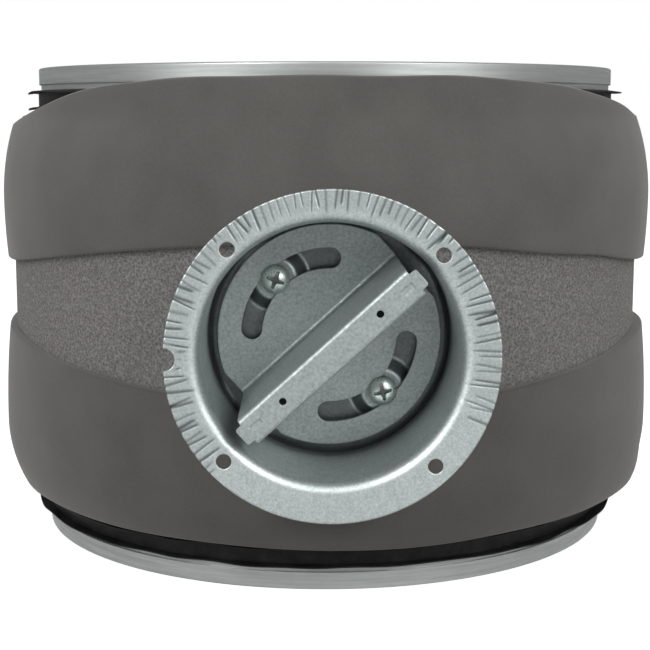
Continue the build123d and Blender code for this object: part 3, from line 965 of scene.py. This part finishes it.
    def rim_radius(self, turn: np.ndarray) -> np.ndarray:
        """Distance of the flange's rim: its off-centre circle, or the notch's near side.

        A ray at angle t meets a circle of radius R about a place at distance s and angle a at
        s cos(t - a) +- (R^2 - s^2 sin^2(t - a))^0.5.

        Args:
            turn: Angles in radians.

        Returns:
            Radii in millimetres.
        """
        shift, notch = self.flange_at, self.notch_centre()
        off = turn - np.angle(shift)
        reach = np.sqrt(self.flange_r**2 - (abs(shift) * np.sin(off)) ** 2)
        rim = abs(shift) * np.cos(off) + reach
        off = turn - np.angle(notch)
        inside = self.notch_r**2 - (abs(notch) * np.sin(off)) ** 2
        near = abs(notch) * np.cos(off) - np.sqrt(np.clip(inside, 0, None))
        return np.where((inside >= -1e-9) & (np.cos(off) > 0), np.minimum(near, rim), rim)

    def bowl(self, name: str) -> bpy.types.Object:
        """Build the bowl's front skin: floor with bosses, quarter-round bend and the wall's foot.

        The wall ends a hair inside the flange's wall, which it overlaps.

        Args:
            name: Name of the piece.

        Returns:
            The skin's object.
        """
        turns = np.radians(np.linspace(0, 360, self.columns))
        quarter = np.linspace(0, math.pi / 2, self.bend_rows)[1:]
        floor_r = np.linspace(self.bush_hole_r, self.wall_r - self.floor_bend, self.floor_rows)
        bend_r = self.wall_r - self.floor_bend * (1 - np.sin(quarter))
        bend_depth = self.floor_depth + self.floor_bend * (1 - np.cos(quarter))
        foot = np.linspace(0, 1, self.foot_rows)[1:]
        foot_depth = np.linspace(bend_depth[-1], self.wall_split + self.sheet, self.foot_rows)[1:]
        row_r = np.concatenate([floor_r, bend_r, self.wall_r - self.overlap * foot])[:, None]
        floor_depth = np.full_like(floor_r, self.floor_depth)
        row_depth = np.concatenate([floor_depth, bend_depth, foot_depth])[:, None]
        relief = self.floor_relief(*np.broadcast_arrays(row_r, turns[None, :]))
        skin = self.place(row_r, turns, row_depth + relief)
        return Patches([skin]).to_object(name, closed=False, sharp_deg=55)

    def flange(self, name: str) -> bpy.types.Object:
        """Build the flange's front skin: the wall, the lip, then the face round its holes.

        A hole's sector is the blend (1 - t) hole + t border of the hole's circle and the sector's
        border.

        Args:
            name: Name of the piece.

        Returns:
            The skin's object.
        """
        turns, ranges = self.flange_columns()
        arc = np.linspace(0, math.acos(1 - self.lip_split / self.lip_bend), self.lip_rows)
        lip_foot = self.flange_depth - self.lip_bend
        wall_depth = np.linspace(self.wall_split, lip_foot, self.wall_rows)[:-1]
        wall_r = np.full_like(wall_depth, self.wall_r)
        row_r = np.concatenate([wall_r, self.wall_r + self.lip_bend * (1 - np.cos(arc))])
        row_depth = np.concatenate(
            [wall_depth, self.flange_depth - self.lip_bend * (1 - np.sin(arc))]
        )
        patches = Patches([self.place(row_r[:, None], turns, row_depth[:, None])])
        start = self.wall_r + self.lip_split
        share = np.linspace(0, 1, self.face_rows)[:, None]
        radius = start + share * (self.rim_radius(turns) - start)
        wide = np.broadcast_to(turns, radius.shape)
        face = self.place(radius, turns, self.flange_face(radius, wide))
        ends = [0, *sorted(edge for span in ranges for edge in span), len(turns) - 1]
        for first, last in zip(ends, ends[1:]):
            if last > first and (first, last) not in ranges:
                patches.add(face[:, first : last + 1])
        blend = np.linspace(0, 1, self.hole_rows)[:, None]
        for (first, last), hole in zip(ranges, self.hole_centres()):
            spot = (radius * np.exp(1j * wide))[:, first : last + 1]
            sides = [spot[0, ::-1], spot[1:, 0], spot[-1, 1:], spot[-2::-1, -1]]
            border = np.concatenate(sides) - hole
            ratio = self.hole_r / np.abs(border)
            spot = hole + border * (ratio + blend * (1 - ratio))
            patch_r, patch_t = np.abs(spot), np.angle(spot)
            patches.add(self.place(patch_r, patch_t, self.flange_face(patch_r, patch_t)))
        return patches.to_object(name, closed=False, sharp_deg=55)

    def flange_painted_shade(self, points: np.ndarray) -> np.ndarray:
        """Share of painted shade on the flange: in creases by the crimps' depth, a little all over
        their arc.

        Args:
            points: Vertices in millimetres, of shape (n, 3).

        Returns:
            Shares of the vertices.
        """
        spot = points[:, 0] + 1j * (points[:, 2] - AXIS_HEIGHT)
        length = self.crimp_arc_deg[1] - self.crimp_arc_deg[0]
        along = (np.degrees(np.angle(spot)) - self.crimp_arc_deg[0]) % 360
        arc = smooth_step(0.0, self.arc_shade_fade_deg, along)
        arc = arc * (1 - smooth_step(length - self.arc_shade_fade_deg, length, along))
        # painted shade over the crimped arc, and in the creases by their depth
        arc_shade = self.crimp_arc_shade * arc * smooth_step(*self.arc_shade_start, np.abs(spot) - self.wall_r)
        creases = self.crimps(np.abs(spot), np.angle(spot)) / max(self.crimp_depth)
        return arc_shade + self.crimp_painted_shade * creases

    def bowl_painted_shade(self, points: np.ndarray) -> np.ndarray:
        """Share of painted shade in the bowl: on the floor, left off as highlights round the bosses'
        edges.

        Args:
            points: Vertices in millimetres, of shape (n, 3).

        Returns:
            Shares of the vertices.
        """
        spot = points[:, 0] + 1j * (points[:, 2] - AXIS_HEIGHT)
        # painted highlight rings where the painted shade is left off
        bright = np.zeros(len(points))
        for centre in self.boss_centres():
            for edge in (self.boss_top_r, self.boss_base_r):
                off = np.abs(spot - centre) - edge
                bright += np.exp(-((off / self.highlight_ring_width) ** 2))
        above = -points[:, 1] - self.floor_depth - self.boss_rise
        wall = smooth_step(-self.painted_shade_edge, self.painted_shade_edge, above)
        return self.floor_painted_shade * (1 - bright) * (1 - wall)

    def build(self, material: bpy.types.Material) -> None:
        """Make bowl and flange, paint shade on them and give them the sheet's thickness.

        Args:
            material: Sheet material.
        """
        bowl, flange = self.bowl("drawn_cup_bowl"), self.flange("drawn_cup_flange")
        stain(bowl, self.bowl_painted_shade)
        stain(flange, self.flange_painted_shade)
        for piece in (bowl, flange):
            sheet = piece.modifiers.new("sheet", "SOLIDIFY")
            sheet.thickness, sheet.offset, sheet.use_rim = self.sheet * MM, -1.0, piece is flange
            dress(piece, material, Body.CASING, "mechanism_cup")


@dataclass
class PanHeadScrew:
    """Pan-head locking screw with a tapered cross recess.

    side_deg is the screw's direction from the mechanism's axis and recess_deg the recess's turn,
    both from the cup's own direction.
    """

    name: str
    node: str
    body: Body
    side_deg: float
    recess_deg: float
    under_head: float = 103.7
    tip: float = 99.3
    shank_r: float = 2.0
    head_r: float = 4.15
    head_height: float = 2.8
    rim_height: float = 1.1
    rim_bevel: Pair = (0.12, 0.15)  # along the radius and along the axis
    neck: float = 0.1
    tip_bevel: float = 0.4
    recess_length: float = 5.2
    recess_width: float = 1.15
    recess_depth: float = 1.7
    arm_taper: float = 0.35
    arm_rise: float = 0.45
    arm_wall: float = 0.16
    arm_end: Pair = (0.18, 1.04)  # fade and place of an arm's end, as shares of its reach
    star_r: float = 1.15
    star_wall: float = 0.35
    star_share: float = 0.75
    # painted shade in the cross recess, by its depth
    recess_painted_shade: float = 0.9
    painted_shade_lift: float = 0.2  # the painted shade is on what stands this far above the head's underside
    dome_rows: int = 56
    dome_power: float = 0.9
    columns: int = 145

    def recess(self, spot: np.ndarray) -> np.ndarray:
        """Depth of the cross recess, the deepest of two arms and the star in their middle.

        An arm narrows and rises towards its ends: its half width is w (1 - t u) and its depth
        d (1 - s u^2) at the share u of its reach, and its walls and ends are smooth steps.

        Args:
            spot: Places on the head, along the first arm + i along the second.

        Returns:
            Depths in millimetres.
        """
        depths = []
        for along, across in ((spot.real, spot.imag), (spot.imag, spot.real)):
            reach = np.abs(along) / (self.recess_length / 2)
            half = self.recess_width / 2 * (1 - self.arm_taper * reach)
            side = smooth_step(0.0, self.arm_wall, half - np.abs(across) + self.arm_wall / 2)
            end = smooth_step(0.0, self.arm_end[0], self.arm_end[1] - reach)
            depths.append(self.recess_depth * side * end * (1 - self.arm_rise * reach**2))
        star = smooth_step(0.0, self.star_wall, self.star_r - np.abs(spot))
        depths.append(self.recess_depth * self.star_share * star)
        return np.max(depths, axis=0)

    def centre(self) -> complex:
        """Place of the screw, x + i z from the mechanism's axis."""
        return SCREW_CIRCLE_R * np.exp(1j * math.radians(CUP_DEG + self.side_deg))

    def turn_back(self, spot: np.ndarray) -> np.ndarray:
        """Places on the head, x + i z from its middle, turned to the recess's own arms."""
        return spot * np.exp(-1j * math.radians(self.recess_deg + CUP_DEG))

    def painted_shade_share(self, points: np.ndarray) -> np.ndarray:
        """Share of painted shade on the screw: by the depth of the recess, on the head's top.

        Args:
            points: Vertices in millimetres, of shape (n, 3).

        Returns:
            Shares of the vertices.
        """
        spot = points[:, 0] + 1j * (points[:, 2] - AXIS_HEIGHT) - self.centre()
        front = points[:, 1] < -self.under_head - self.painted_shade_lift
        return front * self.recess_painted_shade * self.recess(self.turn_back(spot)) / self.recess_depth

    def build(self, material: bpy.types.Material) -> None:
        """Turn the screw's outline and press the cross recess into its head.

        The rows run from the crown's middle over the dome, down the rim, under the head and down
        the shank: radius and height by row, the dome's height being h - q + (q^2 - r^2)^0.5.

        Args:
            material: Screw material.
        """
        drop = self.head_height - self.rim_height
        bend = (drop**2 + self.head_r**2) / (2 * drop)
        dome_r = self.head_r * np.linspace(0, 1, self.dome_rows) ** self.dome_power
        dome_h = self.head_height - bend + np.sqrt(bend**2 - dome_r**2)
        end = self.tip - self.under_head
        rim_r, rim_h = np.array([
            (self.head_r, self.rim_bevel[1]), (self.head_r - self.rim_bevel[0], 0.0),
            (self.shank_r + self.neck, 0.0), (self.shank_r, -self.neck),
            (self.shank_r, end + self.tip_bevel), (self.shank_r - self.tip_bevel, end), (0.0, end),
        ]).T
        turns = np.linspace(0, 2 * math.pi, self.columns)[None, :]
        spot = np.concatenate([dome_r, rim_r])[:, None] * np.exp(1j * turns)
        height = np.concatenate([dome_h, rim_h])[:, None]
        top = (np.arange(len(height)) < len(dome_r))[:, None]
        height = height - np.where(top, self.recess(self.turn_back(spot)), 0)
        spot = spot + self.centre()
        skin = np.stack([spot.real, -self.under_head - height, AXIS_HEIGHT + spot.imag], axis=-1)
        piece = Patches([skin]).to_object(self.name, closed=True, sharp_deg=45)
        stain(piece, self.painted_shade_share)
        dress(piece, material, self.body, self.node)


@dataclass
class KeptSolids:
    """Solids that stay as they are and share one material."""

    nodes: tuple[str, ...]

    def build(self, material: bpy.types.Material) -> None:
        """Give the solids their material.

        Args:
            material: Material for all of them.
        """
        for node in self.nodes:
            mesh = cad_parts[node].data
            mesh.materials.clear()
            mesh.materials.append(material)
            log.info("%s: %s", node, material.name)


@dataclass(frozen=True)
class Softbox:
    """A square soft light aimed at the part's middle: place and side in metres, power in watts."""

    name: str
    at: Place
    power: float
    side: float = 0.7

    def build(self) -> None:
        """Add the light to the scene."""
        data = bpy.data.lights.new(self.name, "AREA")
        data.size, data.energy = self.side, self.power
        light = bpy.data.objects.new(self.name, data)
        light.location = self.at
        aim = Vector((0, 0, AXIS_HEIGHT * MM)) - light.location
        light.rotation_euler = aim.to_track_quat("-Z", "Y").to_euler()
        bpy.context.scene.collection.objects.link(light)


@dataclass
class Studio:
    """Camera at the photograph's place, pale floor, soft lights and a white surround."""

    lens_mm: float = 78.48
    sensor_mm: float = 36.0
    camera_at: Place = (-6.2, -510.3, 143.4)
    pitch_deg: float = 8.652
    heading_deg: float = -0.7
    floor_half_m: float = 4.0
    ambient: Pair = (0.1, 1.2)
    ambient_span: Pair = (-0.6, 0.6)
    room_level: float = 2.6
    room: Tones = (
        (0.0, "#333636"), (0.05, "#3a3d3d"), (0.18, "#ecf0f0"), (0.43, "#ecf0f0"),
        (0.66, "#505353"),
    )
    floor_colour: str = "#c0c0c0"
    floor_glow: float = 0.8
    mirrored_glow: float = 0.36
    glow_at: Place = (0.0, -0.3, 0.0)
    glow_m: Pair = (0.35, 1.2)
    lamps: tuple[Softbox, ...] = (
        Softbox("left_softbox", (-0.8, -1.15, 0.85), 10.8),
        Softbox("right_softbox", (0.85, -1.2, 0.8), 10.2),
    )

    def camera(self) -> None:
        """Place the camera and make it the scene's own."""
        data = bpy.data.cameras.new("camera")
        data.lens, data.sensor_width = self.lens_mm, self.sensor_mm
        camera = bpy.data.objects.new("camera", data)
        camera.location = [v * MM for v in self.camera_at]
        camera.rotation_euler = np.radians([90 - self.pitch_deg, 0, self.heading_deg])
        bpy.context.scene.collection.objects.link(camera)
        bpy.context.scene.camera = camera

    def surround(self) -> None:
        """Make the world white to the camera and a room to reflections, with a ring of light.

        The room's level goes by the direction's y, from straight ahead at -1 to behind at 1: dark
        ahead, where the photographer stands, then a ring of soft light and dimmer sides. As a light
        the room rises from the low ambient level in front to the high one behind, as before a white
        paper.
        """
        world = bpy.data.worlds.new("surround")
        world.use_nodes = True
        tree = world.node_tree
        path = add_node(tree, "LightPath").outputs
        view = add_node(tree, "TexCoord").outputs["Generated"]
        ahead = add_node(tree, "SeparateXYZ", links={0: view}).outputs["Y"]
        front = add_node(tree, "MapRange", {"From Min": -1.0, "From Max": 0.0}, {"Value": ahead})
        room = add_node(tree, "ValToRGB", {"ramp": self.room}, {"Fac": front.outputs[0]})
        low, high = (level / self.room_level for level in self.ambient)
        ends = zip(("From Min", "From Max", "To Min", "To Max"), (*self.ambient_span, low, high))
        sides = add_node(tree, "MapRange", dict(ends), {"Value": ahead})
        level = add_node(
            tree, "Mix", {"data_type": "FLOAT"},
            {0: path["Is Glossy Ray"], 2: sides.outputs[0], 3: room.outputs["Color"]},
        )
        lit = add_node(
            tree, "Math", {"operation": "MULTIPLY", 1: self.room_level}, {0: level.outputs[0]}
        )
        seen = add_node(
            tree, "Math", {"operation": "MAXIMUM"},
            {0: path["Is Camera Ray"], 1: path["Is Transmission Ray"]},
        )
        strength = add_node(
            tree, "Mix", {"data_type": "FLOAT", 3: 1.0}, {0: seen.outputs[0], 2: lit.outputs[0]}
        )
        back = tree.nodes["Background"]
        back.inputs["Color"].default_value = linear("#ffffff")
        tree.links.new(strength.outputs[0], back.inputs["Strength"])
        bpy.context.scene.world = world

    def floor(self) -> None:
        """Lay the floor: a matt pale plane with a glow to the camera, so that only shadows show.

        Reflections get a weaker glow, which dies away with the distance from the part's front.
        """
        side = np.array([-1.0, 1.0]) * self.floor_half_m / MM
        across, along = np.meshgrid(side, side, indexing="ij")
        plane = np.stack([across, along, np.zeros_like(across)], axis=-1)
        floor = Patches([plane]).to_object("floor", closed=False, sharp_deg=30)
        material, shader, coords = new_material(
            "floor_paper", (("Roughness", 1.0), ("Specular IOR Level", 0.0))
        )
        tree = material.node_tree
        shader.inputs["Base Color"].default_value = linear(self.floor_colour)
        shader.inputs["Emission Color"].default_value = linear("#ffffff")
        path = add_node(tree, "LightPath").outputs
        away = add_node(tree, "VectorMath", {"operation": "DISTANCE", 1: self.glow_at}, {0: coords})
        near = add_node(
            tree, "MapRange",
            {
                "interpolation_type": "SMOOTHSTEP", "From Min": self.glow_m[0],
                "From Max": self.glow_m[1], "To Min": self.mirrored_glow, "To Max": 0.0,
            },
            {"Value": away.outputs["Value"]},
        )
        mirrored = add_node(
            tree, "Math", {"operation": "MULTIPLY"}, {0: near.outputs[0], 1: path["Is Glossy Ray"]}
        )
        glow = add_node(
            tree, "Math", {"operation": "MULTIPLY_ADD", 1: self.floor_glow},
            {0: path["Is Camera Ray"], 2: mirrored.outputs[0]},
        )
        tree.links.new(glow.outputs[0], shader.inputs["Emission Strength"])
        floor.data.materials.append(material)

    def build(self) -> None:
        """Set the view transform, camera, surround, floor and lights."""
        bpy.context.scene.view_settings.view_transform = "Standard"
        self.camera()
        self.surround()
        self.floor()
        for lamp in self.lamps:
            lamp.build()


def main() -> None:
    """Build the pieces in order and dress them."""
    logging.basicConfig(level=logging.INFO, format="%(name)s %(message)s")
    sheet = GalvanisedSheet().material()
    duct_sheet = GalvanisedSheet(
        name="galvanised_steel_duct_sheet", tones=((0.3, "#999d9c"), (0.7, "#bbbfbe")),
        fine_mm=1.4, fine_run=(0.04, 0.04, 1.0), fine_share=0.97, constants=(("Metallic", 0.6),),
    ).material()
    handle_sheet = GalvanisedSheet(
        name="galvanised_steel_handle_sheet", tones=((0.3, "#8b9392"), (0.7, "#b0b8b7")),
        fine_mm=0.9, roughness=(0.46, 0.34), edge_mm=0.5, constants=(("Metallic", 0.45),),
    ).material()
    zinc = GalvanisedSheet(
        name="zinc_plated_steel_screw", tones=((0.3, "#bfc9c4"), (0.7, "#d8e2dd")),
        fine_mm=0.4, coarse_mm=2.0, roughness=(0.34, 0.24), bump_mm=0.006,
    ).material()
    rubber = ExtrudedRubber().material()
    FoamJacket().build(ClosedCellFoam(), CutFoam())
    LipGasket("lip_gasket_upper", "upper_gasket", upper=True, seed=3).build(rubber)
    LipGasket("lip_gasket_lower", "lower_gasket", upper=False, seed=5).build(rubber)
    DrawnCup().build(sheet)
    PanHeadScrew(
        "pan_head_screw_upper", "upper_locking_screw", Body.UPPER_SCREW, side_deg=90.0,
        recess_deg=25.0,
    ).build(zinc)
    PanHeadScrew(
        "pan_head_screw_lower", "lower_locking_screw", Body.LOWER_SCREW, side_deg=-90.0,
        recess_deg=60.0,
    ).build(zinc)
    KeptSolids(("damper_blade", "blade_shaft", "blade_rivets", "cup_rivets")).build(sheet)
    KeptSolids(("duct_sleeve",)).build(duct_sheet)
    KeptSolids(("setting_handle",)).build(handle_sheet)
    KeptSolids(("upper_locking_nut", "lower_locking_nut")).build(zinc)
    KeptSolids(("front_bush", "rear_bush")).build(MouldedNylon().material())
    KeptSolids(("shaft_seal",)).build(rubber)
    Studio().build()


if __name__ == "__main__":
    main()
